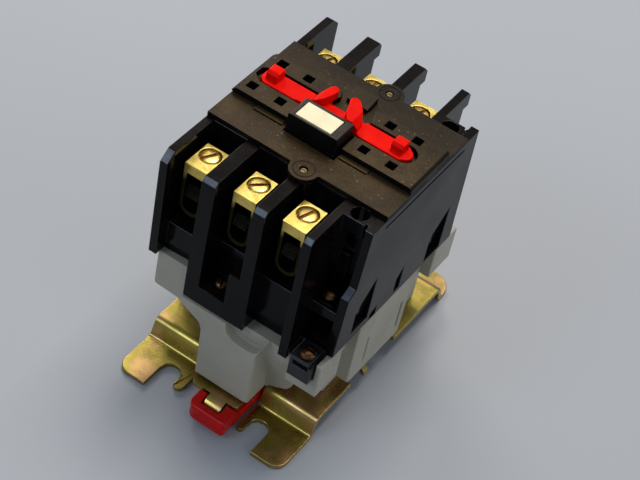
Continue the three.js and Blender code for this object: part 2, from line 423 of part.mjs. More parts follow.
// ================================================================= auxiliary lane
{
  const bridge = join(box(26.9, 30.3, Y_MID - 14.4, Y_MID + 14.4, 94.2, 95.2), box(27.2, 30.0, Y_MID - 14.2, Y_MID - 11.2, 93.4, 94.3), box(27.2, 30.0, Y_MID + 11.2, Y_MID + 14.2, 93.4, 94.3));
  put('aux_moving_contact', bridge, M.copper);
  put('aux_contact_spring', helix(28.6, Y_MID, 95.5, 102.3, 1.8, 0.3, 4), M.spring);
  let bar = side([[-15.4, 84.6], [-15.4, 89.1], [-18.4, 89.1], [-18.4, 86.2], [-38.2, 86.2], [-38.2, 67.6], [-45.4, 67.6], [-45.4, 66.3], [-36.8, 66.3], [-36.8, 84.6]].reverse(), 26.8, 30.4);
  bar = cut(join(bar, box(25.6, 31.6, -45.4, -38.3, 66.3, 67.6)), cyl(1.9, 28.6, -41.6, 60, 70, 'z', 16));
  put('aux_terminal_front', bar, M.brass);
  put('aux_terminal_rear', mirrorY(bar), M.brass);
  let screw = join(cyl(2.9, 28.6, -41.6, 67.9, 70.3, 'z', 24), cyl(1.5, 28.6, -41.6, 66.4, 68, 'z', 14));
  screw = cut(screw, box(25, 32, -42.05, -41.15, 69.4, 71));
  put('aux_screw_front', screw, M.screw);
  put('aux_screw_rear', mirrorY(screw), M.screw);
}

// ================================================================= coil terminals and housing screws
{
  let block = join(box(25.9, 34.7, -57, -46.9, 38.4, 46.1), box(25.9, 33.8, -57, -46.9, 46, 48.2));
  block = cut(block, cyl(1.8, 30.6, -53.2, 41, 50, 'z', 16), box(27.2, 33.6, -58, -54.6, 44.2, 46.4));
  put('coil_terminal_front', block, M.black);
  const rearward = (m) => { const g = geometryOf(mirrorY(m)); g.translate(0, -8.0, 0); return solid(g); };
  put('coil_terminal_rear', rearward(block), M.black);
  let screw = join(cyl(3.0, 30.6, -53.2, 48.5, 50.9, 'z', 24), cyl(1.5, 30.6, -53.2, 42, 48.6, 'z', 14));
  screw = cut(screw, box(27, 34, -53.65, -52.75, 50.0, 52));
  put('coil_screw_front', screw, M.screw);
  put('coil_screw_rear', rearward(screw), M.screw);
  let hs = join(cyl(2.9, -9.0, -50.5, 52.8, 55.2, 'z', 24), cyl(1.6, -9.0, -50.5, 34, 52.9, 'z', 14));
  hs = cut(hs, box(-13, -5, -50.95, -50.05, 54.3, 56), box(-9.45, -8.55, -54, -47, 54.3, 56));
  put('housing_screw_front', hs, M.screw);
  put('housing_screw_rear', mirrorY(hs), M.screw);
}

// ================================================================= magnet and coil
{
  const y0 = Y_MID - 9, y1 = Y_MID + 9;
  put('core_buffer_pad', box(-24, 19, Y_MID - 8, Y_MID + 8, 12.7, 14.7), M.rubber);
  let core = front([[-27.5, 15], [22.5, 15], [22.5, 43], [14.8, 43], [14.8, 23], [5, 23], [5, 43], [-10, 43], [-10, 23], [-19.8, 23], [-19.8, 43], [-27.5, 43]], y0, y1);
  for (const x of [-23.65, 18.65]) {
    core = cut(core, cut(box(x - 3.1, x + 3.1, y0 + 2.2, y1 - 2.2, 41.2, 44), box(x - 1.5, x + 1.5, y0 + 3.8, y1 - 3.8, 40, 45)));
    put(x < 0 ? 'shading_ring_left' : 'shading_ring_right',
      cut(box(x - 2.8, x + 2.8, y0 + 2.5, y1 - 2.5, 41.5, 42.7), box(x - 1.8, x + 1.8, y0 + 3.5, y1 - 3.5, 40, 45)), M.copper);
  }
  put('magnet_core', core, M.iron);
  let arm = front([[-27.5, 49.3], [-19.8, 49.3], [-19.8, 51.6], [-10, 51.6], [-10, 49.3], [5, 49.3], [5, 51.6], [14.8, 51.6], [14.8, 49.3], [22.5, 49.3], [22.5, 57.3], [-27.5, 57.3]], y0, y1);
  arm = join(arm, box(-4.2, -0.8, -8.2, -0.4, 57, 65.2));
  arm = cut(arm, cyl(1.8, -4.3, 61.6, -20, 20, 'x', 16));
  put('armature', arm, M.iron);
  put('armature_pin', cyl(1.45, -4.3, 61.6, -9.8, 4.8, 'x', 14), M.steel);
  // bobbin and winding
  const tube = cut(box(-11.6, 6.6, -14.9, 6.3, 23.4, 42.2), box(-10.3, 5.3, -13.6, 5.0, 20, 50));
  const flange = (z) => cut(plan(rrect(-19.4, 14.4, -22.9, 14.3, 2), z, z + 1.4), box(-10.3, 5.3, -13.6, 5.0, 20, 50));
  put('coil_bobbin', join(tube, flange(23.4), flange(40.8)), M.bobbin);
  put('coil_winding', cut(plan(rrect(-18.6, 13.6, -21.9, 13.3, 3), 25.1, 40.5), box(-11.9, 6.9, -15.2, 6.6, 20, 50)), M.copper);
  put('return_spring_front', helix(-2.5, -18.9, 42.5, 57.3, 2.6, 0.45, 5), M.spring);
  put('return_spring_rear', helix(-2.5, 10.3, 42.5, 57.3, 2.6, 0.45, 5), M.spring);
}

export default group;
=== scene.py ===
import json
import math
import bmesh
import bpy
from mathutils import Matrix, Vector
from mathutils.bvhtree import BVHTree
from mathutils.kdtree import KDTree


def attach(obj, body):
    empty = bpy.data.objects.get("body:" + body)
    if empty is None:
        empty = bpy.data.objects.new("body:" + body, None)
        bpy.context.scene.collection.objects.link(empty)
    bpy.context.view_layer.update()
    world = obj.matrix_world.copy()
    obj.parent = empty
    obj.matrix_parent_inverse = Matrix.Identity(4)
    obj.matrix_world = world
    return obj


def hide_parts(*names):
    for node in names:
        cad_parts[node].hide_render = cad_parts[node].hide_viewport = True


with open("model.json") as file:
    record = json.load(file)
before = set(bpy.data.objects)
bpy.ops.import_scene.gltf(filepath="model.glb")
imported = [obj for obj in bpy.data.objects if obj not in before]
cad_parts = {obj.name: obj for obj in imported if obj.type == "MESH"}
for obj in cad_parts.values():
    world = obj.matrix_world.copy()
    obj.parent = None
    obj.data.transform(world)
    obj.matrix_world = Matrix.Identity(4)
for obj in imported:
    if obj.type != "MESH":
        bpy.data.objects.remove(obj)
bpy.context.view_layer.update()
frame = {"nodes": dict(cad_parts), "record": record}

SC = bpy.context.scene
MM = 0.001
SHIFT = 6.8                                  # the frame's Y is the housing's own Y plus this, in mm
NODES = frame["nodes"]
BODY = {n: b for b, ns in frame["record"]["behaviour"]["bodies"].items() for n in ns}
SLOT = {s["node"]: s["material_slot"] for s in frame["record"]["subparts"]}

# ----------------------------------------------------------------------------------------------- camera
cam_data = bpy.data.cameras.new("camera")
cam_data.lens = 105.35
cam_data.sensor_width = 36.0
cam_data.clip_start = 0.01
cam_data.clip_end = 20.0
cam = bpy.data.objects.new("camera", cam_data)
SC.collection.objects.link(cam)
R, U, B = Vector((0.81900, 0.55007, 0.16329)), Vector((-0.49243, 0.52771, 0.69213)), Vector((0.29455, -0.64726, 0.70306))
cam.matrix_world = Matrix(((R.x, U.x, B.x, 0.20606), (R.y, U.y, B.y, -0.45071 + SHIFT * MM), (R.z, U.z, B.z, 0.53364), (0, 0, 0, 1)))
SC.camera = cam


# ----------------------------------------------------------------------------------------------- node helpers
def srgb(r, g, b):
    f = lambda c: c / 255 / 12.92 if c / 255 <= 0.04045 else ((c / 255 + 0.055) / 1.055) ** 2.4
    return (f(r), f(g), f(b), 1.0)


class Mat:
    """A small builder for one procedural material. Lengths in its textures are in metres."""

    def __init__(self, name):
        self.m = bpy.data.materials.new(name)
        self.m.use_nodes = True
        self.t = self.m.node_tree
        self.t.nodes.clear()
        self.out = self.t.nodes.new("ShaderNodeOutputMaterial")
        self.p = self.t.nodes.new("ShaderNodeBsdfPrincipled")
        self.t.links.new(self.p.outputs[0], self.out.inputs[0])
        self.tc = self.t.nodes.new("ShaderNodeTexCoord")
        self.geo = self.t.nodes.new("ShaderNodeNewGeometry")
        self.obj = self.tc.outputs["Object"]

    def node(self, kind, **props):
        n = self.t.nodes.new(kind)
        for k, v in props.items():
            setattr(n, k, v)
        return n

    def put(self, value, socket):
        if isinstance(value, bpy.types.NodeSocket):
            self.t.links.new(value, socket)
        elif value is not None:
            socket.default_value = value

    def math(self, op, a, b=0.0, c=None, clamp=False):
        n = self.node("ShaderNodeMath", operation=op, use_clamp=clamp)
        self.put(a, n.inputs[0])
        self.put(b, n.inputs[1])
        if c is not None:
            self.put(c, n.inputs[2])
        return n.outputs[0]

    def mapped(self, scale=(1, 1, 1), rot=(0, 0, 0), loc=(0, 0, 0)):
        n = self.node("ShaderNodeMapping")
        self.put(self.obj, n.inputs["Vector"])
        n.inputs["Location"].default_value = loc
        n.inputs["Rotation"].default_value = rot
        n.inputs["Scale"].default_value = scale
        return n.outputs[0]

    def noise(self, scale, detail=4.0, rough=0.55, dist=0.0, vec=None):
        n = self.node("ShaderNodeTexNoise")
        self.put(vec if vec is not None else self.obj, n.inputs["Vector"])
        n.inputs["Scale"].default_value = scale
        n.inputs["Detail"].default_value = detail
        n.inputs["Roughness"].default_value = rough
        n.inputs["Distortion"].default_value = dist
        return n.outputs[0]

    def cells(self, scale, vec=None, feature="F1"):
        n = self.node("ShaderNodeTexVoronoi", feature=feature)
        self.put(vec if vec is not None else self.obj, n.inputs["Vector"])
        n.inputs["Scale"].default_value = scale
        return n.outputs["Distance"]

    def ramp(self, fac, stops):
        n = self.node("ShaderNodeValToRGB")
        e = n.color_ramp.elements
        while len(e) < len(stops):
            e.new(0.5)
        for k, (pos, col) in enumerate(stops):
            e[k].position = pos
            e[k].color = col if hasattr(col, "__len__") else (col, col, col, 1)
        self.put(fac, n.inputs[0])
        return n.outputs[0]

    def step(self, fac, lo, hi, to_lo=0.0, to_hi=1.0):
        n = self.node("ShaderNodeMapRange", clamp=True)
        self.put(fac, n.inputs[0])
        n.inputs[1].default_value = lo
        n.inputs[2].default_value = hi
        n.inputs[3].default_value = to_lo
        n.inputs[4].default_value = to_hi
        return n.outputs[0]

    def mix(self, fac, a, b, blend="MIX"):
        n = self.node("ShaderNodeMix", data_type="RGBA", blend_type=blend)
        self.put(fac, n.inputs[0])
        self.put(a, n.inputs[6])
        self.put(b, n.inputs[7])
        return n.outputs[2]

    def bump(self, height, strength, distance, normal=None):
        n = self.node("ShaderNodeBump")
        n.inputs["Strength"].default_value = strength
        n.inputs["Distance"].default_value = distance
        self.put(height, n.inputs["Height"])
        if normal is not None:
            self.put(normal, n.inputs["Normal"])
        return n.outputs[0]

    def edges(self, radius, gain=4.0, samples=4):
        """About 1 on convex and concave edges, 0 on flat faces."""
        b = self.node("ShaderNodeBevel")
        b.samples = samples
        b.inputs["Radius"].default_value = radius
        d = self.node("ShaderNodeVectorMath", operation="DOT_PRODUCT")
        self.put(b.outputs[0], d.inputs[0])
        self.put(self.geo.outputs["Normal"], d.inputs[1])
        return self.math("MULTIPLY", self.math("SUBTRACT", 1.0, d.outputs["Value"]), gain, clamp=True)

    def up(self, lo=0.5, hi=0.95):
        """1 on faces that look up in the part's own frame."""
        s = self.node("ShaderNodeSeparateXYZ")
        v = self.node("ShaderNodeVectorTransform", vector_type="NORMAL", convert_from="WORLD", convert_to="OBJECT")
        self.put(self.geo.outputs["Normal"], v.inputs[0])
        self.put(v.outputs[0], s.inputs[0])
        return self.step(s.outputs[2], lo, hi)

    def facing(self, way, lo, hi):
        """1 on faces whose normal, in the part's own frame, points along way."""
        v = self.node("ShaderNodeVectorTransform", vector_type="NORMAL", convert_from="WORLD", convert_to="OBJECT")
        self.put(self.geo.outputs["Normal"], v.inputs[0])
        d = self.node("ShaderNodeVectorMath", operation="DOT_PRODUCT")
        self.put(v.outputs[0], d.inputs[0])
        d.inputs[1].default_value = Vector(way).normalized()
        return self.step(d.outputs["Value"], lo, hi)

    def along(self, axis):
        """The part's own X, Y or Z in metres."""
        h = self.node("ShaderNodeSeparateXYZ")
        self.put(self.obj, h.inputs[0])
        return h.outputs["XYZ".index(axis)]

    def attr(self, name):
        return self.node("ShaderNodeAttribute", attribute_name=name).outputs["Fac"]

    def set(self, **kw):
        names = {"color": "Base Color", "rough": "Roughness", "metal": "Metallic", "normal": "Normal", "ior": "IOR", "spec": "Specular IOR Level",
                 "coat": "Coat Weight", "coat_rough": "Coat Roughness", "aniso": "Anisotropic", "sss": "Subsurface Weight", "tint": "Specular Tint"}
        for k, v in kw.items():
            self.put(v, self.p.inputs[names[k]])
        return self.m


# ----------------------------------------------------------------------------------------------- materials
def plastic_black():
    m = Mat("housing_black")
    grime = m.noise(38, 5, 0.6)
    dark = m.mix(m.step(grime, 0.35, 0.7), srgb(9, 9, 11), srgb(15, 14, 16))
    # faces that look up turn brownish in noisy patches, and a little rougher
    upward_brown = m.math("MULTIPLY", m.up(0.75, 0.97), m.step(m.noise(160, 6, 0.7), 0.30, 0.62, 0.30, 1.0))
    col = m.mix(upward_brown, dark, srgb(24, 17, 11))
    pale = m.math("MULTIPLY", m.up(0.75, 0.97), m.step(m.noise(46, 5, 0.7), 0.52, 0.72))
    col = m.mix(m.math("MULTIPLY", pale, 0.07), col, srgb(92, 76, 60))
    speck = m.math("MULTIPLY", m.step(m.cells(720), 0.16, 0.08), m.step(m.noise(70, 3), 0.54, 0.66))
    col = m.mix(m.math("MULTIPLY", speck, 0.22), col, srgb(116, 108, 98))
    wear = m.math("MULTIPLY", m.edges(0.00045, 3.0), m.step(m.noise(210, 4, 0.7), 0.42, 0.62))
    col = m.mix(m.math("MULTIPLY", wear, 0.30), col, srgb(84, 80, 80))
    smear = m.noise(26, 5, 0.7)
    outer = m.math("MULTIPLY", m.facing((1, 0, 0), 0.8, 0.95), m.step(m.along("X"), 0.0355, 0.0362))
    inner = m.math("MULTIPLY", m.facing((1, 0, 0), 0.8, 0.95), m.step(m.along("X"), 0.0362, 0.0355))
    rough = m.math("ADD", m.step(smear, 0.32, 0.72, 0.10, 0.22), m.math("MULTIPLY", upward_brown, 0.05))
    rough = m.math("ADD", rough, m.math("MULTIPLY", outer, 0.16))
    # painted reflection: faces that slope forward and up are mixed towards a pale bluish grey, which stands in for the
    # bright blue light they mirror
    chamfer_reflection = m.facing((0, -1, 1), 0.93, 0.985)
    col = m.mix(m.math("MULTIPLY", chamfer_reflection, m.step(m.noise(300, 4, 0.7), 0.30, 0.65, 0.45, 1.0)), col, srgb(104, 110, 120))
    rough = m.math("SUBTRACT", rough, m.math("MULTIPLY", inner, 0.06))
    n = m.bump(m.noise(700, 3, 0.6), 0.12, 0.00003)
    n = m.bump(m.noise(60, 2, 0.5), 0.35, 0.00010, n)
    return m.set(color=col, rough=rough, normal=n, ior=1.5, spec=0.12)


def plastic_cover():
    m = Mat("cover_brown")
    blot = m.noise(55, 5, 0.65)
    col = m.ramp(blot, [(0.30, srgb(42, 31, 17)), (0.5, srgb(57, 43, 24)), (0.72, srgb(79, 61, 35))])
    grain = m.noise(1300, 4, 0.7)
    col = m.mix(m.step(grain, 0.45, 0.75, 0.0, 0.45), col, srgb(100, 82, 50))
    speck = m.math("MULTIPLY", m.step(m.cells(470), 0.20, 0.08), m.step(m.noise(95, 4, 0.7), 0.48, 0.60))
    col = m.mix(m.math("MULTIPLY", speck, 0.60), col, srgb(166, 148, 116))
    dull = m.step(m.noise(30, 4, 0.6), 0.5, 0.7)
    col = m.mix(m.math("MULTIPLY", dull, 0.45), col, srgb(38, 30, 22))
    # painted shade: the cover is mixed towards a dark brown towards its rear, along a noisy border
    col = m.mix(m.step(m.math("ADD", m.along("Y"), m.step(m.noise(45, 4), 0.0, 1.0, -0.012, 0.012)), 0.002, 0.034, 0.0, 0.80), col, srgb(24, 18, 11))
    # brown on faces that look up, near black on the others
    flat = m.up(0.6, 0.95)
    col = m.mix(flat, srgb(12, 10, 10), col)
    wear = m.math("MULTIPLY", m.edges(0.0004, 3.0), m.step(m.noise(240, 4, 0.7), 0.45, 0.62))
    col = m.mix(m.math("MULTIPLY", wear, 0.30), col, srgb(116, 102, 80))
    rough = m.step(m.noise(130, 5, 0.6), 0.3, 0.7, 0.38, 0.56)
    n = m.bump(grain, 0.6, 0.00005)
    n = m.bump(m.noise(320, 3, 0.6), 0.35, 0.00008, n)
    return m.set(color=col, rough=rough, normal=n, ior=1.45, spec=0.11)


def plastic_carrier():
    m = Mat("carrier_black")
    col = m.mix(m.step(m.noise(90, 4), 0.4, 0.7), srgb(8, 7, 8), srgb(14, 12, 12))
    top = m.math("MULTIPLY", m.up(0.8, 0.97), m.step(m.noise(240, 5, 0.7), 0.3, 0.6, 0.5, 1.0))
    col = m.mix(top, col, srgb(58, 46, 36))
    wear = m.math("MULTIPLY", m.edges(0.0004, 3.0), m.step(m.noise(300, 4, 0.7), 0.42, 0.6))
    col = m.mix(m.math("MULTIPLY", wear, 0.3), col, srgb(84, 76, 68))
    n = m.bump(m.noise(1200, 3, 0.6), 0.3, 0.00003)
    return m.set(color=col, rough=m.step(m.noise(120, 4), 0.3, 0.7, 0.26, 0.44), normal=n, ior=1.48, spec=0.20)


def plastic_base():
    m = Mat("base_grey")
    blot = m.noise(28, 5, 0.6)
    col = m.ramp(blot, [(0.3, srgb(156, 150, 133)), (0.55, srgb(170, 165, 149)), (0.8, srgb(180, 176, 161))])
    grain = m.noise(1100, 4, 0.65)
    col = m.mix(m.step(grain, 0.55, 0.8, 0.0, 0.25), col, srgb(128, 124, 114))
    spots = m.math("MULTIPLY", m.step(m.cells(300), 0.12, 0.05), m.step(m.noise(60, 3), 0.56, 0.66))
    col = m.mix(m.math("MULTIPLY", spots, 0.5), col, srgb(92, 84, 72))
    wear = m.math("MULTIPLY", m.edges(0.0005, 3.0), m.step(m.noise(200, 4, 0.7), 0.4, 0.6))
    col = m.mix(m.math("MULTIPLY", wear, 0.35), col, srgb(190, 187, 180))
    n = m.bump(grain, 0.35, 0.00004)
    n = m.bump(m.noise(70, 3, 0.5), 0.35, 0.00012, n)
    return m.set(color=col, rough=m.step(m.noise(150, 4), 0.3, 0.7, 0.40, 0.56), normal=n, ior=1.5)


def plastic_red(name, lo, mid, hi, r0, r1, spec):
    m = Mat(name)
    col = m.ramp(m.noise(120, 4, 0.6), [(0.3, lo), (0.55, mid), (0.8, hi)])
    wear = m.math("MULTIPLY", m.edges(0.0005, 3.0), m.step(m.noise(260, 4, 0.7), 0.4, 0.6))
    col = m.mix(m.math("MULTIPLY", wear, 0.25), col, hi)
    speck = m.math("MULTIPLY", m.step(m.cells(600), 0.12, 0.05), m.step(m.noise(110, 3), 0.55, 0.66))
    col = m.mix(m.math("MULTIPLY", speck, 0.35), col, srgb(70, 20, 14))
    n = m.bump(m.noise(800, 3, 0.6), 0.3, 0.00003)
    n = m.bump(m.noise(90, 2, 0.5), 0.4, 0.00012, n)
    return m.set(color=col, rough=m.step(m.noise(160, 4), 0.3, 0.7, r0, r1), normal=n, ior=1.46, spec=spec)


def plastic_label():
    m = Mat("label_cream")
    col = m.mix(m.step(m.noise(160, 4), 0.35, 0.7), srgb(248, 236, 196), srgb(240, 226, 182))
    wear = m.edges(0.0004, 2.5)
    col = m.mix(m.math("MULTIPLY", wear, 0.25), col, srgb(214, 196, 150))
    return m.set(color=col, rough=m.step(m.noise(220, 3), 0.3, 0.7, 0.26, 0.42), normal=m.bump(m.noise(900, 3), 0.2, 0.00002), ior=1.5)


def metal(name, tones, r0, r1, scale=70, brush=None, stain=None, stain_amount=0.5, edge=None, edge_amount=0.6, bump=0.3, depth=None, dirt=None):
    """Plated or bare metal: tones vary with broad noise, brush adds fine lines, stain darkens patches, edge brightens
    worn edges; on the zinc plate the strong edge colour is also a painted highlight.
    """
    m = Mat(name)
    col = m.ramp(m.noise(scale, 4, 0.55, 0.6), [(0.25 + 0.5 * k / max(1, len(tones) - 1), t) for k, t in enumerate(tones)])
    lines = None
    if brush is not None:
        lines = m.noise(60, 5, 0.7, vec=m.mapped(brush))
        col = m.mix(m.step(lines, 0.35, 0.7, 0.0, 0.30), col, (0.9, 0.9, 0.9, 1), "MULTIPLY")
    if stain is not None:
        f = m.math("MULTIPLY", m.step(m.noise(scale * 3.1, 6, 0.7, 0.4), 0.50, 0.70), stain_amount)
        col = m.mix(f, col, stain)
    if edge is not None:
        f = m.math("MULTIPLY", m.edges(0.00035, 3.0), edge_amount)
        col = m.mix(f, col, edge)
    rough = m.step(m.noise(scale * 2.3, 5, 0.65), 0.3, 0.7, r0, r1)
    if depth is not None:
        # painted shade: darker and rougher below a height of the part's own frame, where the clamp goes down into its
        # compartment
        low = m.step(m.math("ADD", m.along("Z"), m.step(m.noise(260, 3), 0.0, 1.0, -0.001, 0.001)), depth[0], depth[1], 0.97, 0.0)
        col = m.mix(low, col, depth[2])
        rough = m.math("ADD", rough, m.math("MULTIPLY", low, 0.18))
    if dirt is not None:
        # what has settled in slots and recesses, painted there by the mesh
        f = m.attr("dirt")
        col = m.mix(m.math("MULTIPLY", f, m.step(m.noise(900, 3), 0.3, 0.6, 0.7, 1.0)), col, dirt)
        rough = m.math("ADD", rough, m.math("MULTIPLY", f, 0.3))
    n = m.bump(m.noise(scale * 14, 4, 0.6), bump, 0.00003)
    if lines is not None:
        n = m.bump(lines, bump, 0.00002, n)
    return m.set(color=col, rough=rough, normal=n, metal=1.0)


MATS = {
    "black_housing": plastic_black(),
    "cover_plastic": plastic_cover(),
    "carrier_plastic": plastic_carrier(),
    "base_plastic": plastic_base(),
    "latch_red": plastic_red("latch_red", srgb(224, 6, 0), srgb(238, 12, 0), srgb(248, 26, 0), 0.30, 0.44, 0.05),
    "clip_red": plastic_red("clip_red", srgb(176, 6, 6), srgb(196, 10, 9), srgb(212, 24, 18), 0.20, 0.34, 0.24),
    "label_cream": plastic_label(),
    # the zinc plate's bright edges are partly worn plating and partly a painted highlight along the rims
    "zinc_plate": metal("zinc_yellow", [srgb(146, 132, 62), srgb(186, 164, 84), srgb(166, 148, 72), srgb(202, 160, 110), srgb(156, 148, 64)], 0.22, 0.36, 42,
                        stain=srgb(120, 104, 40), stain_amount=0.35, edge=srgb(250, 234, 160), edge_amount=0.75, bump=0.15),
    # the clamp's depth colour is painted shade, low down in its compartment
    "clamp_brass": metal("brass_clamp", [srgb(196, 170, 84), srgb(220, 194, 104), srgb(230, 206, 126)], 0.26, 0.40, 150,
                         stain=srgb(120, 88, 34), stain_amount=0.55, edge=srgb(255, 240, 180), edge_amount=0.5, depth=(0.0896, 0.0932, srgb(15, 14, 8))),
    "screw_brass": metal("brass_screw", [srgb(210, 176, 92), srgb(232, 202, 114), srgb(246, 220, 146)], 0.26, 0.40, 220, brush=(1, 26, 1),
                         stain=srgb(130, 82, 30), stain_amount=0.60, edge=srgb(255, 236, 170), edge_amount=0.35, dirt=srgb(116, 66, 26)),
    # painted shade: the serrated bar is given near-black brass tones because it sits deep inside the clamp
    "bar_brass": metal("brass_bar_in_shade", [srgb(8, 7, 5), srgb(12, 11, 8), srgb(24, 21, 16)], 0.30, 0.48, 160, stain=srgb(34, 28, 20), edge=srgb(96, 90, 70)),
    "cover_screw_metal": metal("brass_dull", [srgb(120, 104, 70), srgb(156, 138, 92)], 0.30, 0.45, 300, stain=srgb(70, 52, 34), edge=srgb(200, 186, 140)),
    "small_screw_steel": metal("screw_tarnished", [srgb(78, 52, 36), srgb(116, 82, 54), srgb(140, 108, 74)], 0.28, 0.46, 330, stain=srgb(48, 26, 16), stain_amount=0.7,
                               edge=srgb(214, 188, 150), edge_amount=0.5, dirt=srgb(30, 18, 12)),
    "contact_copper": metal("contact_copper", [srgb(190, 120, 84), srgb(206, 138, 100)], 0.25, 0.4, 160, brush=(20, 1, 1), stain=srgb(110, 60, 40), edge=srgb(230, 190, 160)),
    "spring_steel": metal("spring_wire", [srgb(170, 170, 166), srgb(198, 198, 194)], 0.22, 0.32, 300, edge=None),
    "winding_copper": metal("winding_wire", [srgb(150, 78, 42), srgb(176, 96, 52)], 0.22, 0.36, 240, stain=srgb(96, 44, 22)),
    "ring_copper": metal("ring_copper", [srgb(176, 108, 72), srgb(196, 128, 92)], 0.3, 0.42, 240, stain=srgb(100, 58, 38)),
    "core_iron": metal("core_iron", [srgb(96, 96, 98), srgb(122, 122, 124)], 0.35, 0.5, 120, brush=(1, 60, 1), stain=srgb(70, 58, 50), edge=srgb(170, 170, 170)),
    "pin_steel": metal("pin_steel", [srgb(150, 150, 152), srgb(176, 176, 178)], 0.2, 0.3, 240, brush=(1, 30, 30)),
}


def plain_plastic(name, a, b, r0, r1, grain=900):
    m = Mat(name)
    col = m.mix(m.step(m.noise(80, 4, 0.6), 0.35, 0.7), a, b)
    wear = m.math("MULTIPLY", m.edges(0.0004, 3.0), m.step(m.noise(240, 4, 0.7), 0.42, 0.6))
    col = m.mix(m.math("MULTIPLY", wear, 0.3), col, tuple(min(1.0, c * 2.2 + 0.02) for c in b[:3]) + (1.0,))
    return m.set(color=col, rough=m.step(m.noise(150, 4), 0.3, 0.7, r0, r1), normal=m.bump(m.noise(grain, 3, 0.6), 0.3, 0.00003), ior=1.5)


MATS["coil_terminal_black"] = plain_plastic("terminal_black", srgb(22, 22, 26), srgb(34, 34, 38), 0.22, 0.4)
MATS["bobbin_plastic"] = plain_plastic("bobbin_plastic", srgb(180, 168, 140), srgb(196, 184, 156), 0.4, 0.55)
MATS["pad_rubber"] = plain_plastic("pad_rubber", srgb(24, 24, 24), srgb(34, 33, 32), 0.75, 0.9)


# ----------------------------------------------------------------------------------------------- mesh helpers
def add(name, mesh, slot, body, *replaces, smooth=True):
    o = bpy.data.objects.new(name, mesh)
    SC.collection.objects.link(o)
    mesh.materials.clear()
    mesh.materials.append(MATS[slot])
    if smooth:
        for p in mesh.polygons:
            p.use_smooth = True
    if replaces:
        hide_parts(*replaces)
    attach(o, body)
    return o


def seg_dist(a, b, c, d):
    """Least distance between segments ab and cd."""
    u, v, w = b - a, d - c, a - c
    A, Bq, C, D, E = u.dot(u), u.dot(v), v.dot(v), u.dot(w), v.dot(w)
    den = A * C - Bq * Bq
    s = 0.0 if den < 1e-18 else max(0.0, min(1.0, (Bq * E - C * D) / den))
    t = (Bq * s + E) / C if C > 1e-18 else 0.0
    if t < 0:
        t, s = 0.0, max(0.0, min(1.0, -D / A)) if A > 1e-18 else 0.0
    elif t > 1:
        t, s = 1.0, max(0.0, min(1.0, (Bq - D) / A)) if A > 1e-18 else 0.0
    return ((a + u * s) - (c + v * t)).length


def dress_normals(me):
    """Flat faces stay flat, narrow rounding strips lean on the flat face beside them, and the facets of curves blend."""
    polys = me.polygons
    area = [p.area for p in polys]
    norm = [p.normal.copy() for p in polys]
    co = [v.co for v in me.vertices]
    wide = []
    for p in polys:
        vs = p.vertices
        longest = max((co[vs[i]] - co[vs[i - 1]]).length for i in range(len(vs)))
        wide.append(p.area / max(longest, 1e-9))
    at = [[] for _ in me.vertices]
    for p in polys:
        for v in p.vertices:
            at[v].append(p.index)
    c50, c30, c18 = math.cos(math.radians(50)), math.cos(math.radians(30)), math.cos(math.radians(18))
    out = [None] * len(me.loops)
    for p in polys:
        f = p.index
        n = norm[f]
        for li in p.loop_indices:
            if wide[f] >= 5 * MM:
                out[li] = n
                continue
            strip = wide[f] < 0.6 * MM
            near, best = None, c50 if strip else c18
            for g in at[me.loops[li].vertex_index]:
                if g != f and wide[g] >= 5 * MM:
                    d = n.dot(norm[g])
                    if d > best:
                        near, best = norm[g], d
            if near is not None:
                out[li] = near
                continue
            lim = c50 if strip else c30
            acc = Vector((0, 0, 0))
            for g in at[me.loops[li].vertex_index]:
                if n.dot(norm[g]) > lim:
                    acc += norm[g] * area[g]
            out[li] = acc.normalized() if acc.length > 0 else n
    for p in polys:
        p.use_smooth = True
    me.normals_split_custom_set([tuple(v) for v in out])


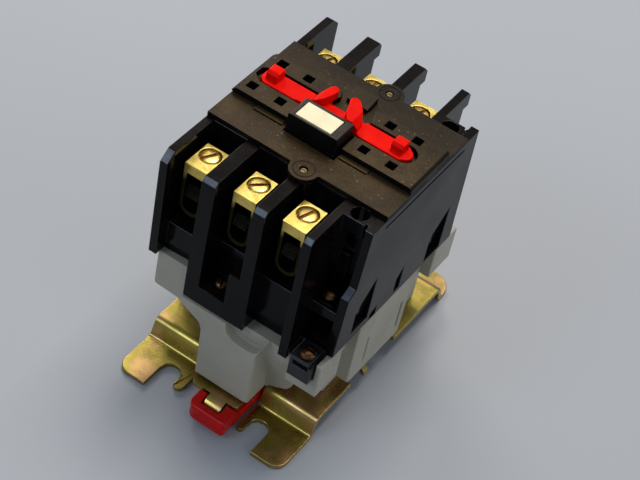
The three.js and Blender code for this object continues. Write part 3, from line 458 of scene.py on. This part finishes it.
def refined(node, width=0.3, seg=2, angle=28.0, name=None, least=0.12, big=None, big_width=0.0, tidy=None):
    """The CAD node's own shape with small rounded edges: a new mesh, in the same place. Each edge's radius is cut down where the shape is narrow."""
    src = NODES[node]
    bm = bmesh.new()
    bm.from_mesh(src.data)
    bmesh.ops.remove_doubles(bm, verts=bm.verts, dist=3e-6)
    bmesh.ops.dissolve_degenerate(bm, dist=2e-6, edges=bm.edges)
    bmesh.ops.dissolve_limit(bm, angle_limit=math.radians(0.8), use_dissolve_boundaries=False, verts=bm.verts, edges=bm.edges)
    if tidy is not None:
        tidy(bm)
    full = max(width, big_width) * MM
    layer = bm.edges.layers.float.get("bevel_weight_edge") or bm.edges.layers.float.new("bevel_weight_edge")
    lim = math.radians(angle)
    for e in bm.edges:
        if len(e.link_faces) != 2:
            e.smooth = False
            continue
        if e.calc_face_angle(0) < lim:
            continue
        a, b = e.verts[0].co, e.verts[1].co
        extra = big(a, b) if big is not None else 0.0
        own = extra or width
        w = own * MM
        large = extra > 0
        need = (1.15 if large else 2.2) * w
        clear = need
        for f in e.link_faces:
            for g in f.edges:
                if g is e:
                    continue
                if g.verts[0] in e.verts or g.verts[1] in e.verts:
                    # a short neighbour round the corner limits the radius as well
                    if not large and g.calc_length() < clear and len(g.link_faces) == 2 and g.calc_face_angle(0) > lim:
                        clear = min(clear, max(g.calc_length(), 1e-6) * 1.0)
                    continue
                d = seg_dist(a, b, g.verts[0].co, g.verts[1].co)
                clear = min(clear, d)
        k = 1.0 if large else min(1.0, clear / need)
        if k * own < least * 0.4:
            e.smooth = False
        else:
            e[layer] = k * w / full
    w = full
    me = bpy.data.meshes.new(name or node)
    bm.to_mesh(me)
    tree = BVHTree.FromBMesh(bm)
    bm.free()
    o = add((name or node) + "_shape", me, SLOT[node], BODY[node], node)
    bev = o.modifiers.new("round", "BEVEL")
    bev.limit_method = "WEIGHT"
    bev.width = w
    bev.segments = seg if big is None else 5
    bev.use_clamp_overlap = False
    bev.miter_outer = "MITER_SHARP"
    bev.loop_slide = True
    for _ in range(3):
        # where a rounded corner leaves the shape's own surface, the edges there stay sharp
        dg = bpy.context.evaluated_depsgraph_get()
        ev = o.evaluated_get(dg)
        em = ev.to_mesh()
        off = []
        for v in em.vertices:
            hit = tree.find_nearest(v.co)
            if hit[0] is not None and hit[3] > (0.42 if big is None else 0.62) * w:
                off.append(v.co.copy())
        ev.to_mesh_clear()
        if not off:
            break
        kd = KDTree(len(off))
        for i, c in enumerate(off):
            kd.insert(c, i)
        kd.balance()
        wt = me.attributes["bevel_weight_edge"].data
        for e in me.edges:
            if wt[e.index].value > 0:
                a, b = me.vertices[e.vertices[0]].co, me.vertices[e.vertices[1]].co
                if kd.find(a)[2] < 4 * w or kd.find(b)[2] < 4 * w:
                    wt[e.index].value = 0.0
                    e.use_edge_sharp = True
        me.update()
    dg = bpy.context.evaluated_depsgraph_get()
    baked = bpy.data.meshes.new_from_object(o.evaluated_get(dg))
    baked.name = (name or node) + "_mesh"
    o.modifiers.clear()
    o.data = baked
    dress_normals(baked)
    return o


def organic(node, voxel, rounds, factor=0.5):
    """The CAD node's shape with soft, moulded-looking edges: remeshed finely and relaxed, then baked to a plain mesh."""
    src = NODES[node]
    tmp = bpy.data.objects.new(node + "_tmp", src.data.copy())
    SC.collection.objects.link(tmp)
    r = tmp.modifiers.new("voxels", "REMESH")
    r.mode = "VOXEL"
    r.voxel_size = voxel * MM
    q = tmp.modifiers.new("soften", "SMOOTH")
    q.iterations = rounds
    q.factor = factor
    dg = bpy.context.evaluated_depsgraph_get()
    me = bpy.data.meshes.new_from_object(tmp.evaluated_get(dg))
    me.name = node
    bpy.data.objects.remove(tmp, do_unlink=True)
    return add(node + "_shape", me, SLOT[node], BODY[node], node)


for node, width in {
    "contact_housing": 0.35, "arc_cover": 0.22, "contact_carrier": 0.3, "mounting_plate": 0.3,
    "indicator_label": 0.25, "coil_terminal_front": 0.3, "coil_terminal_rear": 0.3, "coil_bobbin": 0.3, "magnet_core": 0.2, "armature": 0.2,
}.items():
    refined(node, width)
organic("din_clip", 0.30, 8)
NOSE_Y = (-58 + SHIFT + 0.3) * MM


def nose_edge(a, b):
    """The rounding, in mm, of the edges round the nose; 0 elsewhere."""
    low = max(a.z, b.z) < 0.0106
    right = min(a.x, b.x) > 0.0129 and max(a.x, b.x) < 0.0136
    front = a.y < NOSE_Y and b.y < NOSE_Y
    if low and right:
        return 2.6
    if low and front:
        return 2.0
    if right and front and max(a.z, b.z) < 0.0385:
        return 2.0 if max(a.z, b.z) < 0.0275 else 0.8
    return 0.0


def nose_corner(bm):
    """The small facet at the nose's lower corner gives way to a rounded corner."""
    for v in bm.verts:
        if v.co.y < (-32 + SHIFT) * MM:
            if abs(v.co.x - 0.0132) < 1e-4 and abs(v.co.z - 0.011) < 1e-4:
                v.co.z = 0.0103
            elif abs(v.co.x - 0.0126) < 1e-4 and abs(v.co.z - 0.0103) < 1e-4:
                v.co.x = 0.0132
    bmesh.ops.remove_doubles(bm, verts=bm.verts, dist=3e-6)
    for e in list(bm.edges):
        p, q = e.verts
        if max(p.co.y, q.co.y) < NOSE_Y and min(p.co.x, q.co.x) > 0.0129 and abs(p.co.z - q.co.z) > 0.020 and max(p.co.z, q.co.z) < 0.0385:
            low = p if p.co.z < q.co.z else q
            bmesh.utils.edge_split(e, low, 16.5 / 27.7)
            break


refined("base_housing", 0.5, big=nose_edge, big_width=2.6, tidy=nose_corner)
organic("addon_latch", 0.22, 9)
def tool(kind, size, at, turn=0.0):
    bm = bmesh.new()
    bmesh.ops.create_cube(bm, size=1.0)
    me = bpy.data.meshes.new(kind)
    bm.to_mesh(me)
    bm.free()
    me.transform(Matrix.Translation(at) @ Matrix.Rotation(turn, 4, "Z") @ Matrix.Diagonal((*size, 1.0)))
    o = bpy.data.objects.new(kind, me)
    SC.collection.objects.link(o)
    return o


def screw(node, x, y, top, base, radius, shank, tip, slot_w, slot_d, turn=0.0, cross=False, dome=0.25, ring=0.5, n=64):
    """A turned screw: domed, chamfered head with a cut slot, threaded shank, plain point. Millimetres in the housing's own frame."""
    prof = [(0.0, top), (radius * 0.35, top - dome * 0.10), (radius * 0.65, top - dome * 0.40), (radius - ring, top - dome * 0.8), (radius - ring * 0.45, top - dome - 0.10),
            (radius - 0.08, top - dome - 0.30), (radius, top - dome - 0.48), (radius, base + 0.15), (radius - 0.15, base), (shank, base)]
    z, pitch = base - 0.2, 0.8
    while z - pitch > tip + 1.0:
        prof += [(shank, z), (shank - 0.28, z - pitch * 0.45), (shank - 0.28, z - pitch * 0.55), (shank, z - pitch * 0.95)]
        z -= pitch
    prof += [(shank, tip + 0.9), (shank * 0.6, tip + 0.1), (shank * 0.5, tip), (0.0, tip)]
    bm = bmesh.new()
    rings = []
    for r, zz in prof:
        if r == 0.0:
            rings.append([bm.verts.new((x * MM, (y + SHIFT) * MM, zz * MM))])
        else:
            rings.append([bm.verts.new(((x + r * math.cos(2 * math.pi * i / n)) * MM, (y + SHIFT + r * math.sin(2 * math.pi * i / n)) * MM, zz * MM)) for i in range(n)])
    for p, q in zip(rings, rings[1:]):
        for i in range(n):
            j = (i + 1) % n
            if len(p) == 1:
                bm.faces.new((p[0], q[i], q[j]))
            elif len(q) == 1:
                bm.faces.new((p[i], q[0], p[j]))
            else:
                bm.faces.new((p[i], q[i], q[j], p[j]))
    bmesh.ops.recalc_face_normals(bm, faces=bm.faces)
    me = bpy.data.meshes.new(node)
    bm.to_mesh(me)
    bm.free()
    body = bpy.data.objects.new(node + "_tmp", me)
    SC.collection.objects.link(body)
    cuts = []
    turns = (turn, turn + math.pi / 2) if cross else (turn,)
    for t in turns:
        c = tool("slot_cut", (2.4 * radius * MM, slot_w * MM, 2 * slot_d * MM), Vector((x * MM, (y + SHIFT) * MM, top * MM)), t)
        b = body.modifiers.new("cut", "BOOLEAN")
        b.operation = "DIFFERENCE"
        b.solver = "EXACT"
        b.object = c
        cuts.append(c)
    dg = bpy.context.evaluated_depsgraph_get()
    out = bpy.data.meshes.new_from_object(body.evaluated_get(dg))
    out.name = node
    for c in cuts + [body]:
        bpy.data.objects.remove(c, do_unlink=True)
    att = out.attributes.new("dirt", "FLOAT", "FACE")
    for f in out.polygons:
        c = f.center
        u, v = c.x / MM - x, c.y / MM - SHIFT - y
        inside = any(abs(-u * math.sin(t) + v * math.cos(t)) < slot_w / 2 + 0.02 for t in turns) and math.hypot(u, v) < radius - 0.02
        att.data[f.index].value = 1.0 if inside and c.z / MM < top - dome - 0.05 else 0.0
    o = add(node + "_shape", out, SLOT[node], BODY[node], node)
    out.set_sharp_from_angle(angle=math.radians(32))
    return o


for k, x, t in (("left", -27.4, 62), ("centre", -7.0, 45), ("right", 13.4, 71)):
    refined(f"moving_contact_{k}", 0.2)
    screw(f"terminal_screw_{k}_front", x, -41.5, 97.1, 95.3, 3.62, 2.3, 87.45, 1.5, 0.75, math.radians(t), dome=0.18, ring=0.7)
    screw(f"terminal_screw_{k}_rear", x, 31.7, 95.1, 93.3, 3.62, 2.3, 87.45, 1.5, 0.75, math.radians(90 if k == "centre" else 70), dome=0.18, ring=0.7)
    for f in ("front", "rear"):
        refined(f"terminal_clamp_{k}_{f}", 0.3)
        refined(f"fixed_contact_{k}_{f}", 0.2)
for f, ya, yc, yh in (("front", -41.6, -53.2, -50.5), ("rear", 33.0, 36.6, 41.9)):
    screw(f"aux_screw_{f}", 28.6, ya, 70.3, 67.9, 2.85, 1.45, 66.45, 0.95, 0.9, 0.0, dome=0.5)
    screw(f"coil_screw_{f}", 30.6, yc, 50.9, 48.5, 2.95, 1.45, 42.05, 0.95, 0.9, 0.0, dome=0.5)
    screw(f"housing_screw_{f}", -9.0, yh, 55.2, 52.8, 2.85, 1.55, 34.05, 0.9, 0.9, math.radians(20), cross=True, dome=0.6)
    for n, w in (("aux_terminal", 0.15), ("cover_screw", 0.15)):
        refined(f"{n}_{f}", w)
for n, o in NODES.items():
    if not o.hide_render:
        o.data.materials.clear()
        o.data.materials.append(MATS[SLOT[n]])

# ----------------------------------------------------------------------------------------------- floor and light
def floor_material():
    m = Mat("floor_paper")
    col = m.mix(m.step(m.noise(3, 4, 0.5), 0.3, 0.7), srgb(167, 169, 173), srgb(171, 173, 177))
    return m.set(color=col, rough=0.65, normal=m.bump(m.noise(400, 3), 0.05, 0.00005), ior=1.4)


bm = bmesh.new()
bmesh.ops.create_grid(bm, x_segments=4, y_segments=4, size=2.0)
me = bpy.data.meshes.new("floor")
bm.to_mesh(me)
bm.free()
floor = bpy.data.objects.new("floor", me)
SC.collection.objects.link(floor)
me.materials.append(floor_material())


def area(name, at, size, radiance, color, target=(0, 0, 0.04), size_y=None):
    d = bpy.data.lights.new(name, "AREA")
    d.shape = "RECTANGLE"
    d.size = size
    d.size_y = size_y or size
    d.energy = radiance * math.pi * d.size * d.size_y
    d.color = color
    o = bpy.data.objects.new(name, d)
    SC.collection.objects.link(o)
    o.location = at
    o.rotation_euler = (Vector(target) - Vector(at)).to_track_quat("-Z", "Y").to_euler()
    return o


area("key", (-0.06, 0.62, 1.47), 0.7, 10.3, (1.0, 0.965, 0.905))
area("left", (-0.86, 0.80, 0.72), 0.55, 8.6, (1.0, 0.93, 0.84), size_y=0.4)
area("front", (-0.55, -1.05, 1.00), 0.55, 4.6, (0.70, 0.84, 1.0), size_y=0.4)
area("right", (1.50, -0.25, 0.60), 0.8, 2.1, (1.0, 0.98, 0.95), size_y=0.5)
world = bpy.data.worlds.new("studio")
world.use_nodes = True
world.node_tree.nodes["Background"].inputs[0].default_value = (0.74, 0.87, 1.06, 1)
world.node_tree.nodes["Background"].inputs[1].default_value = 0.31
SC.world = world
SC.view_settings.view_transform = "Standard"
SC.view_settings.look = "None"
